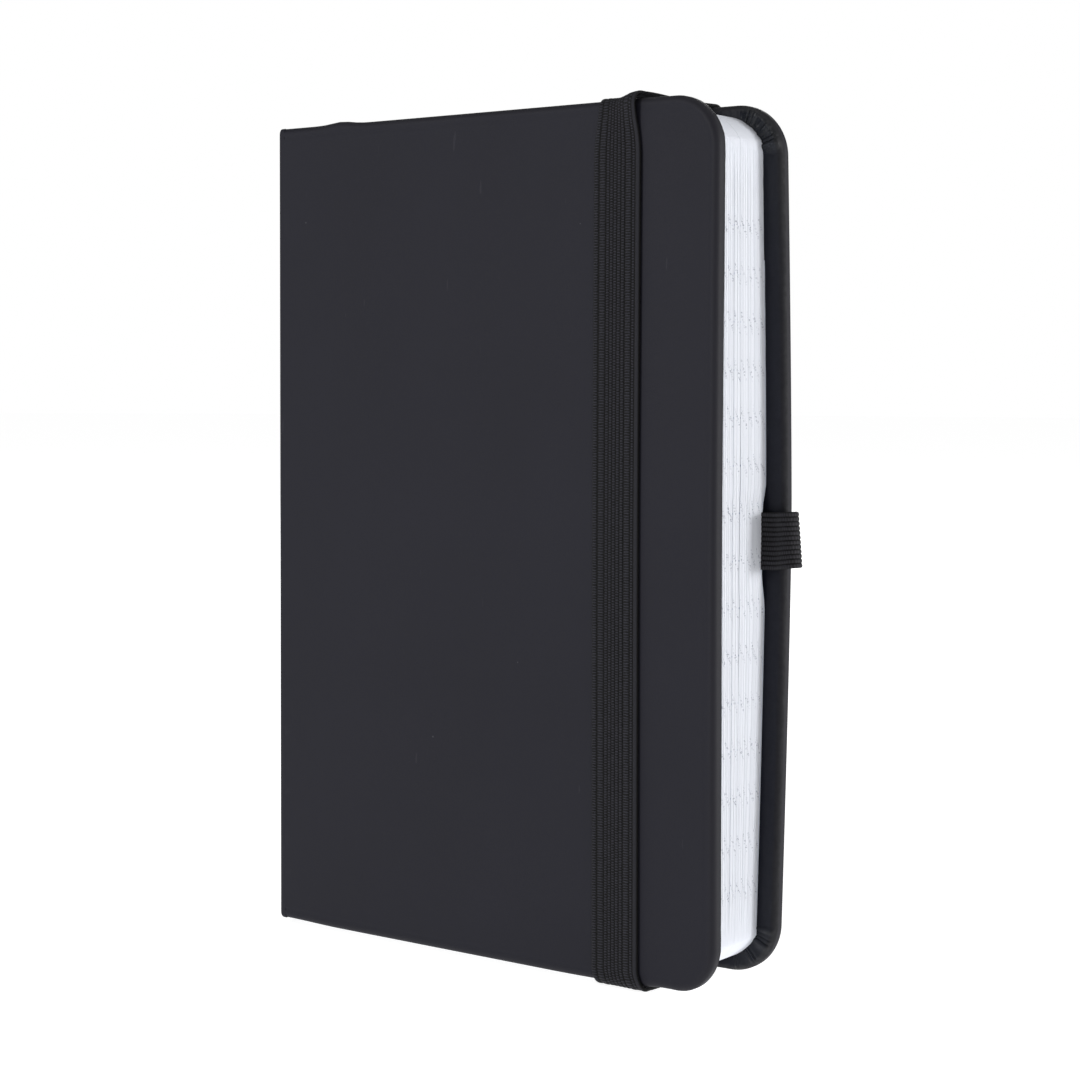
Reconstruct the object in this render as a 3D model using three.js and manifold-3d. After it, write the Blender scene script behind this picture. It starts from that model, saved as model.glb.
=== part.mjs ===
// Pocket notebook with a soft-touch hard cover, sewn pages, an elastic closure and a pen loop.
// Millimetres, +Z up. The notebook stands on its tail edge with its front cover facing -Y.
// Book coordinates: x runs from the spine to the fore-edge, y from the front cover's outer face
// to the back cover's, and z from the covers' tail edge to their head edge. The group at the end
// moves them so that the origin is the middle of the underside of the whole notebook's box.

import * as THREE from 'three';
import { mergeVertices } from 'three/addons/utils/BufferGeometryUtils.js';
import Module from 'manifold-3d';

const wasm = await Module();
wasm.setup();

// Driving dimensions
const WIDTH = 92;
const HEIGHT = 140;
const THICKNESS = 18.8;
const COVER_CORNER_RADIUS = 8.3;
const COVER_EDGE_RADIUS = 0.9;
const FIT = 0.05; // clearance between flat layers that lie on each other

// Covers: a grey board in a wrap that is turned in over its edges
const WRAP_THICKNESS = 0.45;
const BOARD_THICKNESS = 1.8;
const TURN_IN_THICKNESS = 0.4;
const TURN_IN_WIDTH = 12;
const BOARD_START = 1;
const PAPER_THICKNESS = 0.12;
const PASTEDOWN_MARGIN = 4;
const GAUZE_THICKNESS = 0.15;
const GAUZE_WIDTH = 17;
const COVER_THICKNESS = WRAP_THICKNESS + BOARD_THICKNESS + 2 * FIT + TURN_IN_THICKNESS;
const BOARD_OUTER_FACE = WRAP_THICKNESS + FIT;
const BOARD_INNER_FACE = BOARD_OUTER_FACE + BOARD_THICKNESS;

// Spine strip between the covers
const SPINE_BOARD_THICKNESS = 1.6;
const SPINE_DEPTH = WRAP_THICKNESS + SPINE_BOARD_THICKNESS + 2 * FIT + TURN_IN_THICKNESS;
const SPINE_FRONT = COVER_THICKNESS + 0.1;
const SPINE_BACK = THICKNESS - SPINE_FRONT;

// Page block: folded sections sewn through their folds
const SECTION_COUNT = 8;
// How far the covers stand past the pages on their three open sides
const FORE_SQUARE = 2.4;
const HEAD_SQUARE = 1.6;
const TAIL_SQUARE = 2.3;
const PAGE_CORNER_RADIUS = 8.8;
const PAGE_CORNER_SWEEP = THREE.MathUtils.degToRad(62);
const FOLD_X = 3.2;
const PAGE_EDGE_X = WIDTH - FORE_SQUARE;
const PAGE_TAIL = TAIL_SQUARE;
const PAGE_HEAD = HEIGHT - HEAD_SQUARE;
const LEAF_GAP = 0.08;
const FRONT_LEAF_FACE = COVER_THICKNESS + FIT + PAPER_THICKNESS + LEAF_GAP;
const BLOCK_FRONT = FRONT_LEAF_FACE + PAPER_THICKNESS + FIT;
const SECTION_PITCH = (THICKNESS - 2 * BLOCK_FRONT) / SECTION_COUNT;
const SECTION_THICKNESS = SECTION_PITCH - FIT;
const THREAD_THICKNESS = 0.25;
const THREAD_MARGIN = 12;

// Elastic closure round the covers near the fore-edge
const BAND_WIDTH = 8.8;
const BAND_THICKNESS = 0.6;
const BAND_GAP = 0.1;
const BAND_X = 69.1;
const BAND_SKEW = 2.4; // how much nearer the fore-edge the band is on the back cover
const BAND_HOOK = 1.5; // how far the front run reaches round the front cover's head and tail edges
const BAND_SPLIT = 0.2;
const BAND_OUTER_RADIUS = 0.4;
const SLOT_FROM_EDGE = 18;
const SLOT_CLEARANCE = 0.4;
const BAND_TAB_LENGTH = 10;

// Pen loop: a folded strip of elastic held between the last pages and the back cover
const LOOP_STRIP = 0.7;
const LOOP_WIDTH = 9.2;
const LOOP_BOTTOM = 66;
const LOOP_PIVOT_X = WIDTH;
const LOOP_PIVOT_Y = THICKNESS - COVER_THICKNESS - 0.2 - LOOP_STRIP;
const LOOP_FOLD_RADIUS = 1.7;
const LOOP_LENGTH = 5;
const LOOP_TAIL_LENGTH = 14;
const LOOP_CLEARANCE = 0.3;

const material = (color, roughness) => new THREE.MeshStandardMaterial({ color, roughness, metalness: 0 });

const piece = (name, geometry, finish) => {
  const mesh = new THREE.Mesh(geometry, finish);
  mesh.name = name;
  return mesh;
};

// Closed geometries to solids and back, for joining and cutting
const toSolid = (geometry) => {
  const bare = geometry.clone();
  bare.deleteAttribute('normal');
  bare.deleteAttribute('uv');
  const merged = mergeVertices(bare, 1e-4);
  return new wasm.Manifold(
    new wasm.Mesh({
      numProp: 3,
      vertProperties: new Float32Array(merged.attributes.position.array),
      triVerts: new Uint32Array(merged.index.array),
    }),
  );
};

const toGeometry = (solid) => {
  const mesh = solid.getMesh();
  const geometry = new THREE.BufferGeometry();
  geometry.setAttribute('position', new THREE.BufferAttribute(mesh.vertProperties, 3));
  geometry.setIndex(new THREE.BufferAttribute(mesh.triVerts, 1));
  geometry.computeVertexNormals();
  return geometry;
};

const cut = (geometry, ...tools) =>
  toGeometry(tools.reduce((left, tool) => left.subtract(toSolid(tool)), toSolid(geometry)));

// Outlines in x and z
const rectangle = (x0, x1, z0, z1) => {
  const outline = new THREE.Shape();
  outline.moveTo(x0, z0);
  outline.lineTo(x1, z0);
  outline.lineTo(x1, z1);
  outline.lineTo(x0, z1);
  return outline;
};

// Square at the spine, round at the two fore-edge corners
const coverOutline = (x0, inset) => {
  const radius = COVER_CORNER_RADIUS - inset;
  const centreX = WIDTH - COVER_CORNER_RADIUS;
  const outline = new THREE.Shape();
  outline.moveTo(x0, inset);
  outline.lineTo(centreX, inset);
  outline.absarc(centreX, COVER_CORNER_RADIUS, radius, -Math.PI / 2, 0);
  outline.absarc(centreX, HEIGHT - COVER_CORNER_RADIUS, radius, 0, Math.PI / 2);
  outline.lineTo(x0, HEIGHT - inset);
  return outline;
};

// The die that rounds the page corners leaves the fore-edge at a slight angle
const pageOutline = () => {
  const left = Math.PI / 2 - PAGE_CORNER_SWEEP;
  const centreX = PAGE_EDGE_X - PAGE_CORNER_RADIUS * Math.cos(left);
  const outline = new THREE.Shape();
  outline.moveTo(FOLD_X, PAGE_TAIL);
  outline.lineTo(centreX, PAGE_TAIL);
  outline.absarc(centreX, PAGE_TAIL + PAGE_CORNER_RADIUS, PAGE_CORNER_RADIUS, -Math.PI / 2, -left);
  outline.absarc(centreX, PAGE_HEAD - PAGE_CORNER_RADIUS, PAGE_CORNER_RADIUS, left, Math.PI / 2);
  outline.lineTo(FOLD_X, PAGE_HEAD);
  return outline;
};

// An x-z outline made into a plate between two values of y
const plate = (outline, yA, yB, edgeRadius = 0) => {
  const near = Math.min(yA, yB);
  const far = Math.max(yA, yB);
  const geometry = new THREE.ExtrudeGeometry(outline, {
    depth: far - near - 2 * edgeRadius,
    bevelEnabled: edgeRadius > 0,
    bevelThickness: edgeRadius,
    bevelSize: edgeRadius,
    bevelOffset: -edgeRadius,
    bevelSegments: 2,
    curveSegments: 7,
  });
  geometry.rotateX(Math.PI / 2);
  geometry.translate(0, far - edgeRadius, 0);
  return geometry;
};

// A y-z outline made into a strip along x, leaning by skew millimetres of x over the thickness
const strip = (outline, x0, width, skew) => {
  const geometry = new THREE.ExtrudeGeometry(outline, { depth: width, bevelEnabled: false, curveSegments: 4 });
  const lean = skew / THICKNESS;
  geometry.applyMatrix4(new THREE.Matrix4().set(1, 0, 0, 0, 0, 1, 0, 0, lean, 0, 1, x0, 0, 0, 0, 1));
  geometry.applyMatrix4(
    new THREE.Matrix4().makeBasis(
      new THREE.Vector3(0, 1, 0),
      new THREE.Vector3(0, 0, 1),
      new THREE.Vector3(1, 0, 0),
    ),
  );
  return geometry;
};

const coverFinish = () => material(0x323137, 0.62);
const boardFinish = () => material(0x8d8578, 0.95);
const paperFinish = () => material(0xe9ecf1, 0.9);
const elasticFinish = () => material(0x1b1b1e, 0.85);
const threadFinish = () => material(0xf1efe8, 0.8);
const gauzeFinish = () => material(0xdcd6c6, 0.95);

// One cover. depth is measured from its outer face, and fromOuter turns it into y.
const slotZ = [SLOT_FROM_EDGE, HEIGHT - SLOT_FROM_EDGE];

const cover = (side, fromOuter, hasSlots) => {
  const group = new THREE.Group();
  const slotStart = BAND_X + BAND_SKEW - SLOT_CLEARANCE;
  const slots = !hasSlots
    ? []
    : slotZ.map((z) =>
        plate(
          rectangle(
            slotStart,
            slotStart + BAND_WIDTH + 2 * SLOT_CLEARANCE,
            z - BAND_THICKNESS / 2 - SLOT_CLEARANCE,
            z + BAND_THICKNESS / 2 + SLOT_CLEARANCE,
          ),
          fromOuter(-1),
          fromOuter(BOARD_INNER_FACE + FIT / 2),
        ),
      );

  const board = plate(
    coverOutline(BOARD_START, BOARD_OUTER_FACE),
    fromOuter(BOARD_OUTER_FACE),
    fromOuter(BOARD_INNER_FACE),
  );
  group.add(piece(`${side}_board`, hasSlots ? cut(board, ...slots) : board, boardFinish()));

  const boardRoom = plate(
    coverOutline(BOARD_START - FIT, WRAP_THICKNESS),
    fromOuter(WRAP_THICKNESS),
    fromOuter(BOARD_INNER_FACE + FIT),
  );
  const window = plate(
    rectangle(BOARD_START - FIT, WIDTH - TURN_IN_WIDTH, TURN_IN_WIDTH, HEIGHT - TURN_IN_WIDTH),
    fromOuter(BOARD_INNER_FACE),
    fromOuter(COVER_THICKNESS + 1),
  );
  const skin = plate(coverOutline(0, 0), fromOuter(0), fromOuter(COVER_THICKNESS), COVER_EDGE_RADIUS);
  group.add(piece(`${side}_cover_wrap`, cut(skin, boardRoom, window, ...slots), coverFinish()));

  const gauze = plate(
    rectangle(BOARD_START, BOARD_START + GAUZE_WIDTH, TURN_IN_WIDTH + 4, HEIGHT - TURN_IN_WIDTH - 4),
    fromOuter(BOARD_INNER_FACE + FIT),
    fromOuter(BOARD_INNER_FACE + FIT + GAUZE_THICKNESS),
  );
  group.add(piece(`${side}_gauze_wing`, gauze, gauzeFinish()));

  const pastedown = plate(
    coverOutline(FOLD_X, PASTEDOWN_MARGIN),
    fromOuter(COVER_THICKNESS + FIT),
    fromOuter(COVER_THICKNESS + FIT + PAPER_THICKNESS),
  );
  group.add(piece(`${side}_pastedown`, pastedown, paperFinish()));
  return group;
};

// The spine: a board strip, and the wrap over it with its head and tail turned in
const spine = () => {
  const group = new THREE.Group();
  const boardX = WRAP_THICKNESS + FIT;
  const board = plate(
    rectangle(boardX, boardX + SPINE_BOARD_THICKNESS, boardX, HEIGHT - boardX),
    SPINE_FRONT,
    SPINE_BACK,
  );
  group.add(piece('spine_board', board, boardFinish()));

  const body = plate(rectangle(0, SPINE_DEPTH, 0, HEIGHT), SPINE_FRONT, SPINE_BACK);
  const roomEnd = boardX + SPINE_BOARD_THICKNESS + FIT;
  const room = plate(
    rectangle(WRAP_THICKNESS, roomEnd, WRAP_THICKNESS, HEIGHT - WRAP_THICKNESS),
    SPINE_FRONT - 1,
    SPINE_BACK + 1,
  );
  const window = plate(
    rectangle(roomEnd - FIT, SPINE_DEPTH + 1, TURN_IN_WIDTH, HEIGHT - TURN_IN_WIDTH),
    SPINE_FRONT - 1,
    SPINE_BACK + 1,
  );
  group.add(piece('spine_wrap', cut(body, room, window), coverFinish()));
  return group;
};

// The folded tail of the pen loop pushes the last pages forward
const loopRoom = () =>
  plate(
    rectangle(
      LOOP_PIVOT_X - LOOP_TAIL_LENGTH - 1,
      WIDTH + 1,
      LOOP_BOTTOM - 1,
      LOOP_BOTTOM + LOOP_WIDTH + 1,
    ),
    LOOP_PIVOT_Y - LOOP_STRIP - LOOP_CLEARANCE,
    THICKNESS,
  );

const pages = () => {
  const group = new THREE.Group();
  const section = plate(pageOutline(), 0, SECTION_THICKNESS);
  for (let i = 0; i < SECTION_COUNT; i += 1) {
    const y = BLOCK_FRONT + i * SECTION_PITCH;
    const isLast = i === SECTION_COUNT - 1;
    const geometry = isLast ? cut(section, loopRoom().translate(0, -y, 0)) : section;
    const paper = piece(`section_${i + 1}`, geometry, paperFinish());
    paper.position.y = y;
    group.add(paper);

    const threadShape = new THREE.BoxGeometry(
      THREAD_THICKNESS,
      THREAD_THICKNESS,
      PAGE_HEAD - PAGE_TAIL - 2 * THREAD_MARGIN,
    );
    const thread = piece(`sewing_thread_${i + 1}`, threadShape, threadFinish());
    thread.position.set(
      FOLD_X - FIT - THREAD_THICKNESS / 2,
      y + SECTION_THICKNESS / 2,
      (PAGE_TAIL + PAGE_HEAD) / 2,
    );
    group.add(thread);
  }

  const leaf = plate(pageOutline(), 0, PAPER_THICKNESS);
  const frontLeaf = piece('front_flyleaf', leaf, paperFinish());
  frontLeaf.position.y = FRONT_LEAF_FACE;
  group.add(frontLeaf);

  const backLeafY = THICKNESS - FRONT_LEAF_FACE - PAPER_THICKNESS;
  const backLeaf = piece('back_flyleaf', cut(leaf, loopRoom().translate(0, -backLeafY, 0)), paperFinish());
  backLeaf.position.y = backLeafY;
  group.add(backLeaf);
  return group;
};

// The run across the front cover, hooked over the head and tail edges
const bandFrontRun = () => {
  const inner = BAND_GAP;
  const outer = BAND_GAP + BAND_THICKNESS;
  const radius = BAND_OUTER_RADIUS;
  const outline = new THREE.Shape();
  outline.moveTo(BAND_HOOK, -outer);
  outline.lineTo(BAND_HOOK, -inner);
  outline.lineTo(-inner, -inner);
  outline.lineTo(-inner, HEIGHT + inner);
  outline.lineTo(BAND_HOOK, HEIGHT + inner);
  outline.lineTo(BAND_HOOK, HEIGHT + outer);
  outline.absarc(-outer + radius, HEIGHT + outer - radius, radius, Math.PI / 2, Math.PI);
  outline.absarc(-outer + radius, -outer + radius, radius, Math.PI, 1.5 * Math.PI);
  return strip(outline, BAND_X, BAND_WIDTH, 0);
};

// One end: over the covers' edge, along the back cover's outer face, through its slot, to a
// flat tab under the pastedown. zOf mirrors the head end to the tail.
const bandEnd = (zOf) => {
  const inner = THICKNESS + BAND_GAP;
  const outer = inner + BAND_THICKNESS;
  const top = HEIGHT + BAND_GAP;
  const slot = HEIGHT - SLOT_FROM_EDGE;
  const half = BAND_THICKNESS / 2;
  const tabBack = THICKNESS - BOARD_INNER_FACE - FIT;
  const tabFront = THICKNESS - COVER_THICKNESS;
  const outline = new THREE.Shape();
  const points = [
    [BAND_HOOK + BAND_SPLIT, top],
    [inner, top],
    [inner, slot + half],
    [tabFront, slot + half],
    [tabFront, slot - BAND_TAB_LENGTH],
    [tabBack, slot - BAND_TAB_LENGTH],
    [tabBack, slot - half],
    [outer - half, slot - half],
    [outer, slot],
    [outer, top + half],
    [outer - half, top + BAND_THICKNESS],
    [BAND_HOOK + BAND_SPLIT, top + BAND_THICKNESS],
  ];
  points.forEach(([y, z], i) => (i === 0 ? outline.moveTo(y, zOf(z)) : outline.lineTo(y, zOf(z))));
  return strip(outline, BAND_X, BAND_WIDTH, BAND_SKEW);
};

const band = () => {
  const group = new THREE.Group();
  group.add(piece('elastic_front_run', bandFrontRun(), elasticFinish()));
  group.add(piece('elastic_head_end', bandEnd((z) => z), elasticFinish()));
  group.add(piece('elastic_tail_end', bandEnd((z) => HEIGHT - z), elasticFinish()));
  return group;
};

// The loop's outline in x and y from its pivot: a round neck that widens to the fold
const penLoop = () => {
  const group = new THREE.Group();
  const foldX = LOOP_LENGTH - LOOP_FOLD_RADIUS;
  const outline = new THREE.Shape();
  outline.absarc(0, 0, LOOP_STRIP, Math.PI / 2, 1.5 * Math.PI);
  outline.absarc(foldX, 0, LOOP_FOLD_RADIUS, -Math.PI / 2, Math.PI / 2);
  const gap = new THREE.Path();
  gap.moveTo(LOOP_STRIP, 0);
  gap.absarc(foldX, 0, LOOP_FOLD_RADIUS - LOOP_STRIP, -Math.PI / 2, Math.PI / 2);
  outline.holes.push(gap);
  const loopShape = new THREE.ExtrudeGeometry(outline, {
    depth: LOOP_WIDTH,
    bevelEnabled: false,
    curveSegments: 8,
  });
  const loop = piece('pen_loop', loopShape, elasticFinish());
  loop.position.set(LOOP_PIVOT_X, LOOP_PIVOT_Y, LOOP_BOTTOM);
  group.add(loop);

  const tailEnd = LOOP_PIVOT_X - LOOP_STRIP - LOOP_CLEARANCE;
  const tailShape = plate(
    rectangle(LOOP_PIVOT_X - LOOP_TAIL_LENGTH, tailEnd, LOOP_BOTTOM, LOOP_BOTTOM + LOOP_WIDTH),
    LOOP_PIVOT_Y - LOOP_STRIP,
    LOOP_PIVOT_Y + LOOP_STRIP,
  );
  group.add(piece('pen_loop_tail', tailShape, elasticFinish()));
  return group;
};

const group = new THREE.Group();
group.add(cover('front', (depth) => depth, false));
group.add(cover('back', (depth) => THICKNESS - depth, true));
group.add(spine());
group.add(pages());
group.add(band());
group.add(penLoop());
group.position.set(-(LOOP_PIVOT_X + LOOP_LENGTH) / 2, -THICKNESS / 2, BAND_GAP + BAND_THICKNESS);

export default group;
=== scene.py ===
"""Pocket notebook with a soft-touch hard cover, sewn pages, an elastic closure and a pen loop.

Shapes are made in book millimetres: x from the spine to the fore-edge, y from the front cover's
outer face to the back cover's, z from the covers' tail edge to their head edge. Every size comes
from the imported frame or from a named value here, and row() turns book millimetres into row metres.
"""

import math

import bpy
import numpy as np
from mathutils import Matrix, Vector


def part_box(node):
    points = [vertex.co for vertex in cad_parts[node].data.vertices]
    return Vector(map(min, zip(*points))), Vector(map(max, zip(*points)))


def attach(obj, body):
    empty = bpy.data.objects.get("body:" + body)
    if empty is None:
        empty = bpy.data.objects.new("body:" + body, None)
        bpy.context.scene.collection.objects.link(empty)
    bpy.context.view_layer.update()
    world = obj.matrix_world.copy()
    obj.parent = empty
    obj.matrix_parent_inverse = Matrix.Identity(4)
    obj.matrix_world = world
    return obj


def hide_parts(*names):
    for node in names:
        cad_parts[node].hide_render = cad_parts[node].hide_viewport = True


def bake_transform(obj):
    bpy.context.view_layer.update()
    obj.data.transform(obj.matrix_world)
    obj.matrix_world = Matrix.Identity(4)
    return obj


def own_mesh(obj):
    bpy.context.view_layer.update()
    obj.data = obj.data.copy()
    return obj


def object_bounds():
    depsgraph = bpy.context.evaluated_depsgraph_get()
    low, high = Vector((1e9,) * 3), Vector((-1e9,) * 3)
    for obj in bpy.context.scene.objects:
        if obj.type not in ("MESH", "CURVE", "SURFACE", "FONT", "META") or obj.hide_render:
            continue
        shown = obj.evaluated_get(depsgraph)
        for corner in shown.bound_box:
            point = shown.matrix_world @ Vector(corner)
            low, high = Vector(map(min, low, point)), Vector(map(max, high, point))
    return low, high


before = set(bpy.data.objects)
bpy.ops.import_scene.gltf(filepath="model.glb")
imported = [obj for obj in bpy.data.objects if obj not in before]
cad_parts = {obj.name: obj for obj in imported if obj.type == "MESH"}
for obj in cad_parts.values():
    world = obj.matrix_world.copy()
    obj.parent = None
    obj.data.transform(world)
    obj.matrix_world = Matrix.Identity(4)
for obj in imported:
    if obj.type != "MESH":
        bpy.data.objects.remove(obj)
cad_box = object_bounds()

MM = 0.001


def node_box(node):
    """A node's lowest and highest corners, in row metres."""
    low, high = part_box(node)
    return np.array(low, float), np.array(high, float)


# ---- sizes, from the frame

FRONT_LOW, FRONT_HIGH = node_box("front_cover_wrap")
BACK_HIGH = node_box("back_cover_wrap")[1]
ORIGIN = FRONT_LOW
WIDTH = (FRONT_HIGH[0] - FRONT_LOW[0]) / MM
HEIGHT = (FRONT_HIGH[2] - FRONT_LOW[2]) / MM
THICKNESS = (BACK_HIGH[1] - FRONT_LOW[1]) / MM
COVER = (FRONT_HIGH[1] - FRONT_LOW[1]) / MM


def book_box(node):
    """A node's lowest and highest corners, in book millimetres."""
    low, high = node_box(node)
    return (low - ORIGIN) / MM, (high - ORIGIN) / MM


def row(points):
    """Book millimetres to row metres."""
    return np.asarray(points, float) * MM + ORIGIN


# Covers: a board in a thin wrap, whose edges are turned in round it and glued down
COVER_CORNER = 8.3
EDGE_ROUND = 1.0
INNER_ROUND = 0.9
WRAP = 0.45
TURN_IN = 0.4
TURN_IN_WIDTH = 12.0
BOARD_CLEARANCE = 0.5
HINGE_FRONT_X = 1.6
HINGE_BEND = 1.0
PLEATS = 10
PLEAT_DEPTH = {"front": 0.3, "back": 0.6}
CREASE_INSET = 1.6
CREASE_DEPTH = 0.06

# Small unevenness of the covers' head and tail edges, and where along x it is
HEAD_HUMP = 0.45
HEAD_HUMP_X = 14.5
HEAD_HUMP_SPREAD = 3.0
TAIL_SAG = 0.22
TAIL_KICK = 0.52
TAIL_KICK_X = 83.0
TAIL_KICK_SPREAD = 3.8
BACK_TAIL_LIFT = 0.5

# How far the covers have moved at the fore-edge: out in the middle, at the head and at the tail,
# and along x. Both bow because the elastic pulls their ends in over the pages and the pen loop.
BOW_CENTRE = 72.0
BOW_POWER = 1.35
FRONT_BOW = {"middle": 0.38, "head": 0.72, "tail": 0.0, "along": -0.1, "power": 1.5}
BACK_BOW = {"middle": 2.45, "head": -0.05, "tail": 0.3, "along": 0.9, "power": 3.0}
REAR_PAGES_BOW = {"middle": 2.2, "head": 0.5, "tail": 0.4, "power": 3.0}

# Pages: sewn sections, of which one has come a hair away from the one before it
PAGE_LOW, PAGE_HIGH = book_box("section_1")
PAGE_CORNER = 8.8
PAGE_SWEEP = math.radians(62)
LEAVES = 12
SECTION_COUNT = sum(name.startswith("section_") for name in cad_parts)
SECTIONS = [f"section_{i + 1}" for i in range(SECTION_COUNT)]
LOOSE_SECTION = 4
SECTION_FILL = 0.024
BLOCK_FRONT = book_box(SECTIONS[0])[0][1]
BLOCK_BACK = book_box(SECTIONS[-1])[1][1]
PARTING = 0.1
LINE_PITCH = 7.5
FIRST_LINE = 15.35
LINE_COUNT = 15
TICK_SLANT = 3.0

# Elastic closure: a run over the front cover, and at each end an arm and an anchor
RUN_LOW, RUN_HIGH = book_box("elastic_front_run")
END_HIGH = book_box("elastic_head_end")[1]
BAND_WIDTH = RUN_HIGH[0] - RUN_LOW[0]
BAND_X = (RUN_HIGH[0] + RUN_LOW[0]) / 2
BAND_BACK_X = END_HIGH[0] - BAND_WIDTH / 2
BAND_GAP = 0.1
BAND_THICKNESS = -RUN_LOW[1] - BAND_GAP
BAND_SPLIT_Y = 2.0
BAND_GROOVES = (0, 0.115, 0.275, 0.352, 0.43, 0.51, 0.595, 0.68, 0.83, 0.895, 1)
BAND_LIFT = 0.85
BAND_LEAN = 0.5
BAND_STRETCHED = 0.55
HEAD_DRIFT = -0.15
HEAD_NARROWING = 0.22
TAIL_DRIFT = 0.9
TAIL_SPREAD = 0.08
SLOT_FROM_EDGE = 18.0
SLOT_HALF = 0.5
SLOT_CLEARANCE = 0.15
WEFT_PITCH = 0.43

# Pen loop: a strip folded back on itself, with its two ends under the pages
LOOP_LOW, LOOP_HIGH = book_box("pen_loop")
TAIL_LOW, TAIL_HIGH = book_box("pen_loop_tail")
LOOP_STRIP = (TAIL_HIGH[1] - TAIL_LOW[1]) / 2
LOOP_Y = (TAIL_HIGH[1] + TAIL_LOW[1]) / 2
LOOP_FOLD = (LOOP_HIGH[1] - LOOP_LOW[1]) / 2
LOOP_GROOVES = tuple(np.linspace(0, 1, 13))
LOOP_PUSH = TAIL_HIGH[1] - TAIL_LOW[1] - 0.3


def smooth(value, low, high):
    """0 below low, 1 above high, and smooth between them."""
    t = np.clip((np.asarray(value, float) - low) / (high - low), 0, 1)
    return t * t * (3 - 2 * t)


def bell(value, centre, spread):
    """1 at the centre, falling off to both sides."""
    return np.exp(-(((value - centre) / spread) ** 2))


def arch(z):
    """1 at the middle of the height and 0 at the head and tail."""
    z = np.clip(z, 0, HEIGHT)
    away = np.where(z > BOW_CENTRE, (z - BOW_CENTRE) / (HEIGHT - BOW_CENTRE), 1 - z / BOW_CENTRE)
    return 1 - away**BOW_POWER


def bowed_out(bow, x, z):
    """How far outwards a bow carries the place x, z."""
    share = np.clip(z / HEIGHT, 0, 1)
    at_fore_edge = bow["middle"] * arch(z) + bow["head"] * share + bow["tail"] * (1 - share)
    return at_fore_edge * np.clip(x / WIDTH, 0, 1) ** bow["power"]


# ---- camera, light and floor

CAMERA_AT = (277.62, -294.53, 96.18)
CAMERA_YAW = math.radians(36.717)
CAMERA_PITCH = math.radians(2.986)
CAMERA_ROLL = math.radians(0.242)
CAMERA_LENS = 75.7
CAMERA_SHIFT = -0.0386
SENSOR = 36.0
SKY_LIGHT = 0.22


def make_camera():
    """The camera in front of the notebook's fore-edge half, turned towards its spine."""
    data = bpy.data.cameras.new("photo_camera")
    data.lens = CAMERA_LENS
    data.sensor_width = SENSOR
    data.shift_y = CAMERA_SHIFT
    data.clip_start = 0.01
    data.clip_end = 50
    camera = bpy.data.objects.new("photo_camera", data)
    bpy.context.scene.collection.objects.link(camera)
    turn = (
        Matrix.Rotation(CAMERA_YAW, 4, "Z")
        @ Matrix.Rotation(math.pi / 2 - CAMERA_PITCH, 4, "X")
        @ Matrix.Rotation(CAMERA_ROLL, 4, "Z")
    )
    camera.matrix_world = Matrix.Translation(Vector(row(CAMERA_AT))) @ turn
    bpy.context.scene.camera = camera


def area_light(name, place, size, watts):
    """A round soft light that points at the middle of the notebook."""
    target = Vector((0.0, 0.0, 0.07))
    data = bpy.data.lights.new(name, "AREA")
    data.shape = "DISK"
    data.size = size
    data.energy = watts
    light = bpy.data.objects.new(name, data)
    light.location = place
    light.rotation_euler = (target - Vector(place)).to_track_quat("-Z", "Y").to_euler()
    bpy.context.scene.collection.objects.link(light)


def set_inputs(node, values):
    """Plain values on a shader node's sockets."""
    for name, value in values.items():
        node.inputs[name].default_value = value


def make_studio():
    """A white room that looks bright and lights the notebook only faintly, four lights, and a floor."""
    world = bpy.data.worlds.new("studio")
    world.use_nodes = True
    tree = world.node_tree
    background = tree.nodes["Background"]
    set_inputs(background, {"Color": (1, 1, 1, 1)})
    seen = tree.nodes.new("ShaderNodeLightPath").outputs["Is Camera Ray"]
    strength = tree.nodes.new("ShaderNodeMapRange")
    set_inputs(strength, {"To Min": SKY_LIGHT, "To Max": 1.0})
    tree.links.new(seen, strength.inputs["Value"])
    tree.links.new(strength.outputs["Result"], background.inputs["Strength"])
    bpy.context.scene.world = world
    area_light("left_key", (-0.6, -1.6, 0.55), 0.5, 12.5)
    area_light("right_key", (1.05, 0.6, 0.24), 0.4, 8)
    area_light("back_fill", (-0.5, 1.1, 0.5), 0.6, 5)
    area_light("top_fill", (0.1, -0.1, 1.5), 0.7, 2.5)

    ground = (0, 0, cad_box[0][2])
    bpy.ops.mesh.primitive_circle_add(vertices=96, radius=6.0, fill_type="NGON", location=ground)
    floor = bpy.context.object
    floor.name = "studio_floor"
    paint = bpy.data.materials.new("studio_floor")
    paint.use_nodes = True
    shader = paint.node_tree.nodes["Principled BSDF"]
    set_inputs(shader, {"Base Color": (0.6, 0.6, 0.6, 1), "Roughness": 0.9})
    set_inputs(shader, {"Emission Color": (1, 1, 1, 1), "Emission Strength": 0.85})
    floor.data.materials.append(paint)
    bpy.context.scene.view_settings.view_transform = "Standard"


# ---- material building blocks


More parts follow.
